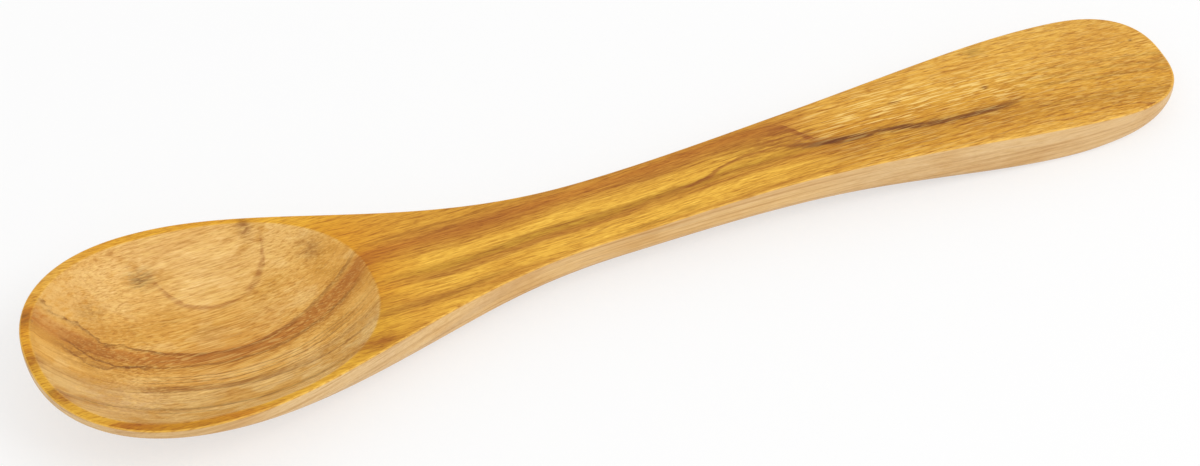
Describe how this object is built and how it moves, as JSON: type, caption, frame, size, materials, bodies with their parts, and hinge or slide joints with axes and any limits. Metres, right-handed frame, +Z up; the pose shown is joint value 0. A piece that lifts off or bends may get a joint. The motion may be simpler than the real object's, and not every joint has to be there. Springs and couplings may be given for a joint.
{
  "type": "jam spoon",
  "caption": "Small wooden spoon with an oval hollowed bowl, a slim neck and a gently arched handle that widens to a round end, for scooping and spreading jam.",
  "frame": {"origin": "on the table under the middle of the spoon's length, as the spoon lies at rest", "axes": "+X along the spoon from the bowl's tip to the handle's end, +Y across it, +Z up out of the bowl"},
  "size_m": [0.174, 0.0376, 0.0123],
  "materials": {
    "olive_wood": "sanded and oiled, satin, with strong olive-wood figure"
  },
  "bodies": {
    "root": {"jam_spoon": "olive_wood"}
  },
  "joints": []
}
